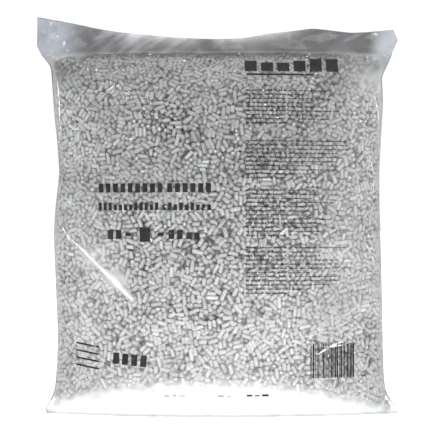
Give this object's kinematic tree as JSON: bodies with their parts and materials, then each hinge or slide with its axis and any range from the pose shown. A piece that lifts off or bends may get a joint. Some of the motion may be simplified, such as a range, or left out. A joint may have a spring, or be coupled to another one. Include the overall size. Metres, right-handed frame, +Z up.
{
  "type": "cat litter bag",
  "caption": "Clear welded film pillow sack full of loose cat litter pellets, standing upright on its settled base, with a flat header and flared corner ears.",
  "frame": {"origin": "on the floor under the middle of the sack's overall box", "axes": "+Z up from the base to the header, -Y out of the printed front panel, +X to the right as the front is looked at"},
  "size_m": [0.461, 0.147, 0.504],
  "materials": {
    "clear_film": "clear polyethylene film, glossy, with fine creases and black print",
    "pale_pellets": "pale grey pressed wood pellets, matt with a slight sheen"
  },
  "bodies": {
    "root": {"film_sack": "clear_film", "pellet_charge": "pale_pellets"}
  },
  "joints": []
}
